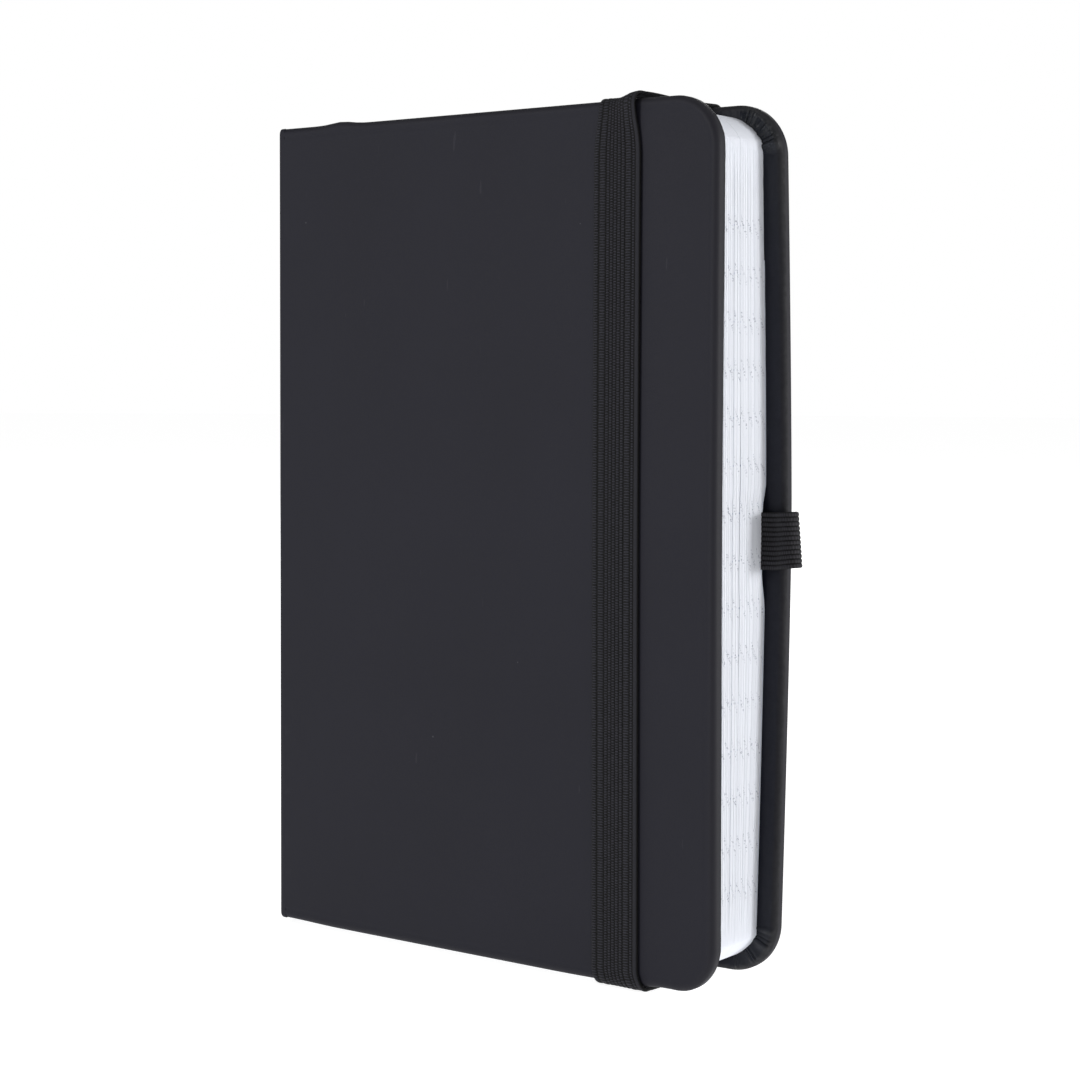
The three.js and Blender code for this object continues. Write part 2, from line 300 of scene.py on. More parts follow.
class Nodes:
    """A short way to write a material's node tree."""

    def __init__(self, name, roughness, specular, sheen=0.0):
        self.material = bpy.data.materials.new(name)
        self.material.use_nodes = True
        self.tree = self.material.node_tree
        self.shader = self.tree.nodes["Principled BSDF"]
        set_inputs(self.shader, {"Roughness": roughness, "Specular IOR Level": specular})
        set_inputs(self.shader, {"Sheen Weight": sheen, "Sheen Roughness": 0.5})

    def node(self, kind, inputs=(), **settings):
        made = self.tree.nodes.new(kind)
        for key, value in settings.items():
            setattr(made, key, value)
        for key, value in dict(inputs).items():
            self.put(value, made.inputs[key])
        return made

    def put(self, value, socket):
        if isinstance(value, bpy.types.NodeSocket):
            self.tree.links.new(value, socket)
        else:
            socket.default_value = value

    def rest(self):
        """Places in book millimetres that stay with the surface when it bends."""
        return self.node("ShaderNodeAttribute", attribute_name="rest").outputs["Vector"]

    def factor(self, name):
        """A number stored on the mesh's points."""
        return self.node("ShaderNodeAttribute", attribute_name=name).outputs["Fac"]

    def split(self, vector):
        return self.node("ShaderNodeSeparateXYZ", {0: vector}).outputs

    def math(self, operation, a, b=0.0, c=0.0):
        return self.node("ShaderNodeMath", {0: a, 1: b, 2: c}, operation=operation).outputs[0]

    def times(self, a, b):
        return self.math("MULTIPLY", a, b)

    def scaled(self, vector, scale):
        return self.node("ShaderNodeMapping", {"Vector": vector, "Scale": scale}).outputs[0]

    def noise(self, vector, scale, detail=2.0, roughness=0.5):
        inputs = {"Vector": vector, "Scale": scale, "Detail": detail, "Roughness": roughness}
        return self.node("ShaderNodeTexNoise", inputs).outputs["Fac"]

    def cells(self, vector, scale):
        """The distance to the middle of the nearest of many scattered cells."""
        return self.node("ShaderNodeTexVoronoi", {"Vector": vector, "Scale": scale}).outputs["Distance"]

    def between(self, value, low, high, to_low=0.0, to_high=1.0):
        """A value taken smoothly from low and high to to_low and to_high."""
        inputs = {"Value": value, "From Min": low, "From Max": high, "To Min": to_low, "To Max": to_high}
        return self.node("ShaderNodeMapRange", inputs, interpolation_type="SMOOTHSTEP").outputs["Result"]

    def mix(self, factor, a, b):
        made = self.node("ShaderNodeMix", data_type="RGBA")
        for value, socket in ((factor, made.inputs[0]), (a, made.inputs[6]), (b, made.inputs[7])):
            self.put(value, socket)
        return made.outputs[2]

    def tinted(self, base, factor, strength, color):
        """The base colour, mixed with another by a share of the factor."""
        return self.mix(self.times(factor, strength), base, color)

    def bump(self, height, distance, strength=1.0, normal=None):
        inputs = {"Height": height, "Distance": distance, "Strength": strength}
        made = self.node("ShaderNodeBump", inputs)
        if normal is not None:
            self.put(normal, made.inputs["Normal"])
        return made.outputs["Normal"]

    def finish(self, color, roughness=None, normal=None):
        """The material, with what drives its surface plugged in."""
        self.put(color, self.shader.inputs["Base Color"])
        if roughness is not None:
            self.put(roughness, self.shader.inputs["Roughness"])
        if normal is not None:
            self.put(normal, self.shader.inputs["Normal"])
        return self.material


def tone(red, green, blue):
    """An sRGB colour of 0 to 255 as a linear colour with alpha."""
    values = (np.array((red, green, blue)) / 255.0) ** 2.2
    return (*values, 1.0)


# ---- materials


def cover_material():
    """Soft-touch imitation leather: a matte skin with a very fine grain and a little dust."""
    n = Nodes("soft_touch_cover", 0.6, 0.16, sheen=0.02)
    place = n.rest()
    cloud = n.noise(place, 0.035, 3.0)
    base = n.mix(cloud, tone(32, 32, 39), tone(36, 36, 44))
    grain = n.noise(place, 5.5, 3.0, 0.6)
    pores = n.cells(place, 3.2)
    rim_lift = n.factor("edge")
    # Lighter along the round edges.
    base = n.tinted(base, rim_lift, 0.5, tone(46, 45, 48))
    dust = n.between(n.cells(place, 0.13), 0.026, 0.014)
    base = n.tinted(base, dust, 0.22, tone(120, 120, 125))
    hair = n.noise(n.scaled(place, (0.5, 0.5, 0.06)), 2.4, 1.0)
    scratch = n.between(hair, 0.77, 0.8)
    base = n.tinted(base, scratch, 0.12, tone(80, 80, 86))
    rough = n.between(grain, 0.2, 0.8, 0.52, 0.66)
    height = n.math("ADD", n.times(grain, 0.7), n.times(pores, 0.3))
    broad = n.bump(n.noise(place, 0.09, 2.0), 0.0006, 0.25)
    normal = n.bump(height, 0.00003, 0.5, broad)
    return n.finish(base, rough, normal)


def turn_in_material():
    """The same skin, pressed smoother where it is glued down inside the cover. Its darker navy colour is
    partly painted shade from the pages close beside it; it is lighter along the round rim, and the corner
    pleats carry painted glints.
    """
    n = Nodes("turned_in_cover", 0.42, 0.28)
    place = n.rest()
    crinkle_and_glint = n.factor("crinkle_and_glint")
    edge = n.factor("edge")
    # Painted shade: the skin's colour is darkened to navy-black here, standing in for the shade from the
    # pages close beside it.
    base = n.mix(n.noise(place, 0.2, 3.0), tone(12, 15, 27), tone(20, 22, 34))
    # Painted glints on the puckered corner pleats: their colour is lifted lighter.
    base = n.tinted(base, crinkle_and_glint, 0.35, tone(52, 55, 57))
    # Lighter along the round rim.
    base = n.tinted(base, edge, 0.6, tone(43, 42, 42))
    rough = n.between(n.noise(place, 1.3, 2.0), 0.3, 0.7, 0.44, 0.58)
    rough = n.math("MULTIPLY_ADD", crinkle_and_glint, -0.24, n.math("MULTIPLY_ADD", edge, 0.25, rough))
    wrinkles = n.noise(n.scaled(place, (1.0, 1.0, 0.35)), 1.1, 4.0, 0.6)
    fine = n.bump(n.noise(place, 5.0, 3.0), 0.00003, 0.5)
    pressed = n.bump(wrinkles, 0.0002, 0.35, fine)
    crumple = n.times(n.noise(place, 1.2, 2.0, 0.5), crinkle_and_glint)
    return n.finish(base, rough, n.bump(crumple, 0.0003, 0.5, pressed))


def board_material():
    """Grey board: pressed fibres with flecks."""
    n = Nodes("grey_board", 0.95, 0.1)
    place = n.rest()
    fibres = n.noise(n.scaled(place, (1.0, 4.0, 0.4)), 1.4, 4.0, 0.7)
    base = n.mix(fibres, tone(120, 114, 104), tone(160, 152, 140))
    flecks = n.between(n.cells(place, 0.9), 0.12, 0.05)
    base = n.tinted(base, flecks, 0.5, tone(80, 76, 70))
    return n.finish(base, None, n.bump(fibres, 0.0001, 0.4))


def ruled_line(n, place, depth, wide, sharp):
    """1 on the ruled lines. On a section's cut edges they step down from leaf to leaf."""
    _, _, z = n.split(place)
    shifted = n.math("MULTIPLY_ADD", depth, TICK_SLANT, z)
    from_first = n.math("SUBTRACT", shifted, FIRST_LINE + TICK_SLANT / 2)
    away = n.math("PINGPONG", from_first, LINE_PITCH / 2)
    line = n.between(away, wide, sharp)
    above = n.between(from_first, -0.6, -0.3)
    below = n.between(from_first, (LINE_COUNT - 1) * LINE_PITCH + 0.6, (LINE_COUNT - 1) * LINE_PITCH + 0.3)
    return n.times(line, n.times(above, below))


def page_material():
    """Smooth white paper with pale ruled lines that run off the fore-edge."""
    n = Nodes("page_paper", 0.85, 0.2)
    place = n.rest()
    leaf = n.factor("leaf")
    fanned = n.factor("fanned")
    tint = n.times(n.noise(n.scaled(place, (0.05, 9.0, 0.05)), 1.0, 2.0), fanned)
    base = n.mix(tint, tone(224, 227, 235), tone(237, 239, 243))
    leaf_tint = n.node("ShaderNodeTexWhiteNoise", {"W": leaf}, noise_dimensions="1D").outputs["Value"]
    base = n.mix(n.times(n.times(leaf_tint, fanned), 0.12), base, tone(190, 196, 214))
    spots = n.between(n.cells(n.scaled(place, (0.4, 1.0, 1.0)), 3.0), 0.5, 0.3)
    uneven = n.between(n.noise(place, 0.9, 2.0), 0.4, 0.62, 0.3, 0.9)
    depth = n.factor("depth")
    cut = n.factor("cut")
    on_cuts = n.times(ruled_line(n, place, depth, 0.75, 0.45), n.times(spots, uneven))
    on_faces = n.times(ruled_line(n, place, depth, 0.16, 0.1), n.math("SUBTRACT", 1.0, cut))
    base = n.mix(n.times(on_cuts, cut), base, tone(158, 161, 174))
    base = n.mix(on_faces, base, tone(176, 184, 204))
    fibres = n.noise(place, 3.0, 4.0, 0.6)
    return n.finish(base, None, n.bump(fibres, 0.00003, 0.3))


def endpaper_material():
    """The heavier plain paper of the flyleaves and pastedowns. Its blue-grey is partly the paper's own
    tint and partly painted shade, standing in for the shade on the rear flyleaf beside the back cover.
    """
    n = Nodes("endpaper", 0.85, 0.2)
    place = n.rest()
    # Partly painted shade: the paper's tone is set darker and bluer than the pages'.
    base = n.mix(n.noise(place, 0.15, 3.0), tone(205, 211, 224), tone(222, 226, 235))
    fibres = n.noise(place, 2.2, 4.0, 0.65)
    return n.finish(base, None, n.bump(fibres, 0.00004, 0.35))


def elastic_material(name, crest, ladder_depth, selvage_rib):
    """Woven elastic: lengthwise ribs crossed by a fine ladder of weft threads, smooth on the last
    rib. The weave attribute holds the place across the strip, along it, and the rib's number."""
    n = Nodes(name, 0.75, 0.2, sheen=0.03)
    weave = n.node("ShaderNodeAttribute", attribute_name="weave").outputs["Vector"]
    _, along, rib = n.split(weave)
    stagger = n.times(n.math("FLOOR", rib), 0.5)
    wander = n.times(n.noise(n.rest(), 0.8, 2.0), 0.5)
    step = n.math("ADD", n.math("ADD", n.math("DIVIDE", along, WEFT_PITCH), stagger), wander)
    ladder = n.between(n.math("SINE", n.times(step, 2 * math.pi)), -0.2, 0.85)
    crown = n.math("POWER", n.math("SINE", n.times(n.math("FRACT", rib), math.pi)), 0.6)
    fuzz = n.noise(n.rest(), 4.5, 3.0, 0.7)
    woven = n.between(rib, selvage_rib, selvage_rib - 0.1, 0.1, 1.0)
    patchy = n.between(n.noise(n.rest(), 1.7, 2.0), 0.3, 0.7, 0.65 * ladder_depth, ladder_depth)
    bars = n.math("MULTIPLY_ADD", n.math("SUBTRACT", ladder, 1.0), n.times(patchy, woven), 1.0)
    # Painted shade and highlight: the colour runs from near black in the grooves between ribs and between
    # the weft bars up to the crest colour on the rib crowns.
    lift = n.times(n.between(crown, 0.25, 0.95), bars)
    lift = n.times(lift, n.math("MULTIPLY_ADD", woven, 0.45, 0.55))
    base = n.mix(lift, tone(4, 4, 5), crest)
    base = n.tinted(base, fuzz, 0.07, tone(60, 60, 62))
    lint = n.between(n.cells(n.rest(), 0.35), 0.03, 0.015)
    base = n.tinted(base, lint, 0.3, tone(110, 110, 116))
    height = n.math("ADD", n.times(bars, 0.7), n.times(fuzz, 0.3))
    return n.finish(base, None, n.bump(height, 0.00014, 0.9))


def thread_material():
    """White sewing thread on the nodes kept from the frame, whose rest places are the object's own."""
    n = Nodes("sewing_thread", 0.8, 0.2, sheen=0.1)
    place = n.node("ShaderNodeTexCoord").outputs["Object"]
    inputs = {"Vector": place, "Scale": 900.0, "Distortion": 1.0}
    twist = n.node("ShaderNodeTexWave", inputs, bands_direction="DIAGONAL").outputs["Fac"]
    base = n.mix(twist, tone(205, 202, 192), tone(244, 242, 235))
    return n.finish(base, None, n.bump(twist, 0.0001, 0.6))


def gauze_material():
    """Open-weave gauze, stiff with glue, on the nodes kept from the frame."""
    n = Nodes("gauze", 0.9, 0.15)
    place = n.node("ShaderNodeTexCoord").outputs["Object"]
    x, _, z = n.split(place)
    warp = n.math("SINE", n.times(x, 2 * math.pi / 0.0009))
    weft = n.math("SINE", n.times(z, 2 * math.pi / 0.0009))
    weave = n.between(n.math("MAXIMUM", warp, weft), 0.2, 0.9)
    base = n.mix(weave, tone(150, 140, 118), tone(226, 220, 204))
    return n.finish(base, None, n.bump(weave, 0.0001, 0.7))


# ---- mesh building blocks


def add_piece(name, points, faces, materials, attributes=None, pick=None, sharp=35):
    """A mesh object at the row origin. points are book millimetres; pick gives each face's material."""
    mesh = bpy.data.meshes.new(name)
    mesh.from_pydata(row(points).tolist(), [], [list(map(int, face)) for face in faces])
    for material in materials:
        mesh.materials.append(material)
    if pick is not None:
        mesh.polygons.foreach_set("material_index", np.asarray(pick, np.int32))
    for key, values in {"rest": points, **(attributes or {})}.items():
        values = np.asarray(values, np.float32)
        kind, field = ("FLOAT_VECTOR", "vector") if values.ndim == 2 else ("FLOAT", "value")
        mesh.attributes.new(key, kind, "POINT").data.foreach_set(field, values.ravel())
    mesh.polygons.foreach_set("use_smooth", np.ones(len(mesh.polygons), bool))
    mesh.set_sharp_from_angle(angle=math.radians(sharp))
    mesh.update()
    piece = bpy.data.objects.new(name, mesh)
    bpy.context.scene.collection.objects.link(piece)
    return piece


def moved(piece, move):
    """The piece, with move applied to its book places. Its materials keep the places it had before."""
    vertices = piece.data.vertices
    places = (np.array([vertex.co for vertex in vertices]) - ORIGIN) / MM
    vertices.foreach_set("co", row(move(places)).ravel())
    return piece


def tube_faces(steps, count):
    """The faces of a closed tube of some steps with count points each, with a cap at either end."""
    k = np.arange(count)
    ahead = np.roll(k, -1)
    faces = []
    for s in range(steps - 1):
        base, following = s * count, (s + 1) * count
        faces += np.stack([base + k, base + ahead, following + ahead, following + k], 1).tolist()
    faces.append(list(range(count))[::-1])
    faces.append([(steps - 1) * count + q for q in range(count)])
    return faces


class Panel:
    """A flat outline, square at the spine and round at its two fore-edge corners, as a grid of
    columns in x and rows in z. Every offset of it has the same count of points, so that offsets
    can be joined into the rings of a shell. knots are x and z places that grid lines pass through."""

    def __init__(self, x1, z0, z1, radius, sweep, columns, arc, rows, knots=((), ())):
        self.x1, self.z0, self.z1 = x1, z0, z1
        self.radius, self.sweep = radius, sweep
        self.flat_columns = columns
        self.turn = np.linspace(0, sweep, arc + 1)[1:]
        self.knots = knots
        reach = x1 - radius * math.sin(sweep)
        self.knot_columns = [int((columns - 1) * x / reach + 0.25) for x in knots[0]]
        self.knot_rows = [int((rows - 1) * (z - z0) / (z1 - z0) + 0.25) for z in knots[1]]
        self.count = (columns + arc, rows)
        columns, rows = self.count
        tail = [(i, 0) for i in range(columns)]
        fore = [(columns - 1, j) for j in range(1, rows)]
        head = [(i, rows - 1) for i in range(columns - 2, -1, -1)]
        spine = [(0, j) for j in range(rows - 2, 0, -1)]
        self.loop = np.array(tail + fore + head + spine)

    def grid(self, x0, inset=0.0):
        """x and z of every grid point, for the outline moved in by inset on its three open sides."""
        radius = max(self.radius - inset, 0.3)
        reach = (self.x1 - inset) - radius * math.sin(self.sweep)
        last = self.flat_columns - 1
        stops = [x0, *(min(knot, reach - 0.05) for knot in self.knots[0]), reach]
        flat = np.interp(np.arange(last + 1), [0, *self.knot_columns, last], stops)
        x = np.concatenate([flat, reach + radius * np.sin(self.turn)])
        lift = np.concatenate([np.zeros(len(flat)), radius * (1 - np.cos(self.turn))])
        low = self.z0 + inset + lift
        high = self.z1 - inset - lift
        last = self.count[1] - 1
        shares = [(knot - low[0]) / (high[0] - low[0]) for knot in self.knots[1]]
        rise = np.interp(np.arange(last + 1), [0, *self.knot_rows, last], [0, *shares, 1])
        z = low[:, None] + rise[None, :] * (high - low)[:, None]
        return np.broadcast_to(x[:, None], z.shape), z

    def sheet(self, x0, inset, y):
        """The whole grid at one depth, as x, y, z for each column and row."""
        x, z = self.grid(x0, inset)
        return np.stack([x, np.full(x.shape, float(y)), z], -1)

    def ring(self, x0, inset, y):
        """The grid's border at one depth."""
        i, j = self.loop.T
        return self.sheet(x0, inset, y)[i, j]

    def shell(self, first, rings, last, holes=()):
        """A closed shell: a grid facing -y, rings, and a grid facing +y. first, last and each ring
        are (x0, inset, y). holes are (column from, to, row from, to), cut through both grids."""
        columns, rows = self.count
        size = columns * rows
        border = self.loop[:, 0] * rows + self.loop[:, 1]
        front, back = self.sheet(*first).reshape(-1, 3), self.sheet(*last).reshape(-1, 3)
        points = np.concatenate([front, *(self.ring(*ring) for ring in rings), back])
        last_start = size + len(rings) * len(border)
        loops = [border]
        loops += [size + k * len(border) + np.arange(len(border)) for k in range(len(rings))]
        loops += [last_start + border]

        i, j = np.meshgrid(np.arange(columns - 1), np.arange(rows - 1), indexing="ij")
        kept = np.ones(i.shape, bool)
        for c0, c1, r0, r1 in holes:
            kept[c0:c1, r0:r1] = False
        corner = (i * rows + j)[kept]
        cells = np.stack([corner, corner + rows, corner + rows + 1, corner + 1], 1)
        faces = [cells]
        for near, far in zip(loops, loops[1:]):
            ahead_near, ahead_far = np.roll(near, -1), np.roll(far, -1)
            faces.append(np.stack([near, far, ahead_far, ahead_near], 1))
        faces.append(last_start + cells[:, ::-1])
        for c0, c1, r0, r1 in holes:
            rim = [(c, r0) for c in range(c0, c1)] + [(c1, r) for r in range(r0, r1)]
            rim += [(c, r1) for c in range(c1, c0, -1)] + [(c0, r) for r in range(r1, r0, -1)]
            near = np.array([c * rows + r for c, r in rim])
            far = last_start + near
            faces.append(np.stack([np.roll(near, -1), np.roll(far, -1), far, near], 1))
        return points, np.concatenate(faces)


def sweep_strip(centres, outward, across, widths, section, lifts=0.0, thin=1.0):
    """A strip of one cross-section carried along a path. section is (across, outward) pairs. At
    each step, lifts is how far the strip's far edge stands up and leans out, and thin is the share
    of its thickness that is left, measured from its inner face."""
    inner = section[:, 1].min()
    roll = smooth(section[:, 0], -0.08, 0.42)[None, :] * np.reshape(lifts, (-1, 1))
    thickness = inner + (section[None, :, 1] - inner) * np.reshape(thin, (-1, 1))
    sideways = section[None, :, 0] * np.reshape(widths, (-1, 1)) + BAND_LEAN * roll**2
    spans = sideways[:, :, None] * across[:, None, :]
    heights = (thickness + roll)[:, :, None] * outward[:, None, :]
    points = (centres[:, None, :] + spans + heights).reshape(-1, 3)
    return points, tube_faces(len(centres), len(section))


# ---- covers


def slide(sizes, x):
    """How far a cover slides along itself as it bows."""
    return sizes["along"] * smooth(x, 0.2 * WIDTH, WIDTH)


def bow(side, points):
    """Points at a depth under a cover's outer face, as book places on the bowed cover."""
    x, depth, z = points.T
    sizes = FRONT_BOW if side == "front" else BACK_BOW
    out = depth - bowed_out(sizes, x, z)
    y = out if side == "front" else THICKNESS - out
    at_tail = 1 - smooth(z, 0, 30)
    if side == "front":
        hump = HEAD_HUMP * bell(x, HEAD_HUMP_X, HEAD_HUMP_SPREAD) * smooth(z, HEIGHT - 4, HEIGHT)
        kick = TAIL_KICK * bell(x, TAIL_KICK_X, TAIL_KICK_SPREAD)
        sag = TAIL_SAG * smooth(x, 2, 14) * (1 - smooth(x, 60, 80))
        z = z + hump + (kick - sag) * at_tail
    else:
        z = z + BACK_TAIL_LIFT * smooth(x, 60, 86) * at_tail
    return np.column_stack([x + slide(sizes, x), y, z])


def facing(side, faces):
    """Faces made for the front cover, turned over when they are for the back one."""
    return faces if side == "front" else faces[:, ::-1]


def pleats(points, depth):
    """How far the turned-in skin stands up in gathers where it goes round a corner, and a factor that is 1
    where it puckers. Where that factor is high, the turned-in material also paints glints."""
    x, z = points[:, 0], points[:, 2]
    height = np.zeros(len(points))
    crumpled_and_glint = np.zeros(len(points))
    for centre_z, up, strength in ((COVER_CORNER, -1, 0.6), (HEIGHT - COVER_CORNER, 1, 1.0)):
        dx = x - (WIDTH - COVER_CORNER)
        dz = (z - centre_z) * up
        angle = np.arctan2(dx, np.maximum(dz, 1e-6)) / (math.pi / 2)
        reach = np.hypot(dx, dz) / COVER_CORNER
        inside = (dx > 0) & (dz > 0)
        phase = angle * PLEATS + 0.4 * np.sin(angle * 17 + up)
        fold = np.abs(np.sin(math.pi * phase)) ** 0.5
        uneven = 0.6 + 0.4 * np.sin(angle * 23 + 2 * up)
        fade = smooth(reach, 0.25, 0.6) * smooth(angle, 0.02, 0.15) * smooth(1 - angle, 0.0, 0.08)
        height += np.where(inside, strength * depth * fold * uneven * fade, 0)
        past = smooth(dz, -22, -2) * smooth(dx, 3, 7)
        crumpled_and_glint += strength * np.where(dz > 0, fade * (dx > 0), 0.35 * past)
        below = (dz <= 0) & (dx > 0)
        lumps = 0.12 * past * np.abs(np.sin(dz * 0.9 + 0.8 * np.sin(dz * 0.37)))
        height += np.where(below, strength * lumps, 0)
    return height, np.clip(crumpled_and_glint, 0, 1)


def cover_panel(side):
    """A cover's outline. The back one has grid lines along the edges of its two slots."""
    knots = ((), ())
    if side == "back":
        reach = BAND_WIDTH / 2 + SLOT_CLEARANCE
        bowed = (BAND_BACK_X - reach, BAND_BACK_X + reach)
        slots = (SLOT_FROM_EDGE, HEIGHT - SLOT_FROM_EDGE)
        heights = [z + d for z in slots for d in (-SLOT_HALF, SLOT_HALF)]
        knots = ([x - slide(BACK_BOW, x) for x in bowed], heights)
    return Panel(WIDTH, 0, HEIGHT, COVER_CORNER, math.pi / 2, 47, 60, 141, knots)


def slot_holes(panel):
    """The grid cells that the slots in the back cover take away."""
    if not panel.knot_rows:
        return []
    start, stop = panel.knot_columns
    rows = panel.knot_rows
    return [(start, stop, low, high) for low, high in (rows[:2], rows[2:])]


def round_edges(thickness):
    """The outer and then the inner round edge of a wrapped board, as (inset, depth) pairs."""
    outer_depth = min(EDGE_ROUND, 0.55 * thickness)
    inner_depth = min(INNER_ROUND, 0.45 * thickness)
    turns = np.linspace(0, math.pi / 2, 8)
    outer = [(EDGE_ROUND * (1 - math.sin(a)), outer_depth * (1 - math.cos(a))) for a in turns]
    inner = [(INNER_ROUND * (1 - math.cos(a)), thickness - inner_depth * (1 - math.sin(a))) for a in turns]
    return outer + inner


def cover_skin(side, skin, turned):
    """The wrap of one cover: its outer face, round edges, and turned-in border with corner pleats."""
    panel = cover_panel(side)
    x0, x_in = HINGE_FRONT_X, HINGE_FRONT_X + 0.4
    crease = [(x0, CREASE_INSET + 0.35, 0), (x0, CREASE_INSET, CREASE_DEPTH), (x0, CREASE_INSET - 0.35, 0)]
    rounds = [(x0, inset, depth) for inset, depth in round_edges(COVER)]
    flat = [(x0, inset, COVER) for inset in (1.0, 1.6, 2.3, 3.0, 3.8, 4.8, 6.0, 7.5, 9.0, 10.5, 11.8)]
    under = COVER - TURN_IN
    hidden = [(x_in, TURN_IN_WIDTH, COVER - 0.12)]
    hidden += [(x_in, inset, under) for inset in (TURN_IN_WIDTH, 8.0, 3.0, 0.75)]
    hidden += [(x_in, WRAP, under - 0.3), (x_in, WRAP, 0.75)]
    rings = crease + rounds + flat + hidden
    first, last = (x0, CREASE_INSET + 0.8, 0), (x_in, 0.7, WRAP)
    points, faces = panel.shell(first, rings, last, slot_holes(panel))
    border = len(panel.loop)
    size = panel.count[0] * panel.count[1]
    level = np.zeros(len(points))
    edge = np.zeros(len(points))
    for k, (_, inset, depth) in enumerate(rings):
        span = slice(size + k * border, size + (k + 1) * border)
        turn = (k - len(crease) + 1) / (len(rounds) + 1)
        edge[span] = math.sin(math.pi * turn) ** 0.7 if 0 < turn < 1 else 0
        level[span] = smooth(depth, COVER - 0.6, COVER - 0.05) if k < len(rings) - len(hidden) else 0
    edge *= smooth(points[:, 0], 3, 12)
    gathers, crumpled_and_glint = pleats(points, PLEAT_DEPTH[side])
    points[:, 1] += gathers * level
    creases = 0.04 * np.sin(points[:, 2] * 0.9) * np.sin(points[:, 2] * 0.23 + points[:, 0] * 0.4)
    points[:, 1] += creases * level * smooth(points[:, 0], 4, 12)
    is_inside = points[faces, 1].mean(1) > COVER * 0.62
    # The edge factor tints the skin lighter along its round edges, and the pucker factor marks the corner
    # pleats, where the turned-in material paints glints.
    name, looks = f"{side}_cover_skin", {"edge": edge, "crinkle_and_glint": crumpled_and_glint * level}
    placed, faces = bow(side, points), facing(side, faces)
    return add_piece(name, placed, faces, [skin, turned], looks, is_inside)


def cover_board(side, material):
    """The board inside a cover's wrap."""
    panel = cover_panel(side)
    x0 = HINGE_FRONT_X + BOARD_CLEARANCE
    first, last = WRAP + 0.06, COVER - TURN_IN - 0.06
    rings = [(x0, BOARD_CLEARANCE, first + 0.1), (x0, BOARD_CLEARANCE, last - 0.1)]
    ends = [(x0, BOARD_CLEARANCE + 0.3, depth) for depth in (first, last)]
    points, faces = panel.shell(ends[0], rings, ends[1], slot_holes(panel))
    placed = bow(side, points)
    return add_piece(f"{side}_cover_board", placed, facing(side, faces), [material])


def pastedown(side, material):
    """The endpaper glued inside a cover. The turned-in border shows through it as a soft step."""
    margin = 4.0
    panel = Panel(WIDTH - margin, margin, HEIGHT - margin, COVER_CORNER - margin, math.pi / 2, 60, 8, 100)
    x0, lowest, thickness = 3.2, COVER + 0.04, 0.1
    points, faces = panel.shell((x0, 0, lowest), [], (x0, 0, lowest + thickness))
    x, z = points[:, 0], points[:, 2]
    from_edge = np.minimum(np.minimum(WIDTH - x, z), HEIGHT - z)
    sunk = smooth(from_edge, TURN_IN_WIDTH - 1.2, TURN_IN_WIDTH + 0.8)
    points[:, 1] -= 0.17 * sunk
    placed = bow(side, points)
    return add_piece(f"{side}_endpaper_pasted", placed, facing(side, faces), [material])


# ---- spine and the bends beside it

SPINE_LOW, SPINE_HIGH = book_box("spine_wrap")


def spine_section(depth):
    """The wrap cut across the spine, as (depth, z) points: a sheet whose ends are folded back."""
    tail = [(d, z) for z, d in round_edges(depth)]
    tail += [(depth, TURN_IN_WIDTH), (depth - TURN_IN, TURN_IN_WIDTH)]
    low = tail + [(depth - TURN_IN, EDGE_ROUND), (WRAP, EDGE_ROUND)]
    high = [(d, HEIGHT - z) for d, z in low[::-1]]
    return np.array(low + high)


def carried_section(section, path, inward):
    """The section carried along a path in x and y, its depth measured along inward."""
    places = path[:, None, :] + section[None, :, :1] * inward[:, None, :]
    heights = np.tile(section[:, 1:], (len(path), 1, 1))
    points = np.concatenate([places, heights], -1).reshape(-1, 3)
    return points, tube_faces(len(path), len(section))


def wrap_piece(name, points, faces, material):
    """A piece of the wrap whose round edges are not tinted lighter."""
    return add_piece(name, points, faces, [material], {"edge": 0 * points[:, 0]})


def spine_skin(material):
    """The wrap over the spine, turned in at the head and tail."""
    section = spine_section(SPINE_HIGH[0] - SPINE_LOW[0])
    ys = np.linspace(SPINE_LOW[1], SPINE_HIGH[1], 9)
    path = np.stack([np.zeros(9), ys], 1)
    points, faces = carried_section(section, path, np.tile([1.0, 0.0], (9, 1)))
    return wrap_piece("spine_skin", points, faces, material)


def bend_skin(side, material):
    """The thin wrap that bends between a cover and the spine."""
    section = spine_section(WRAP + TURN_IN + 0.05)
    turns = np.linspace(0, math.pi / 2, 9)
    arc = [(HINGE_BEND * (1 - math.sin(a)), HINGE_BEND * (1 - math.cos(a))) for a in turns]
    ways = [(math.sin(a), math.cos(a)) for a in turns]
    start = [(x, 0.0) for x in np.linspace(HINGE_FRONT_X, HINGE_BEND, 3)[:-1]]
    end = [(0.0, y) for y in np.linspace(HINGE_BEND, SPINE_LOW[1], 6)[1:]]
    path = np.array(start + arc + end)
    inward = np.array([(0.0, 1.0)] * len(start) + ways + [(1.0, 0.0)] * len(end))
    points, faces = carried_section(section, path, inward)
    if side == "back":
        points[:, 1] = THICKNESS - points[:, 1]
        faces = [face[::-1] for face in faces]
    return wrap_piece(f"{side}_hinge_skin", points, faces, material)


# ---- pages


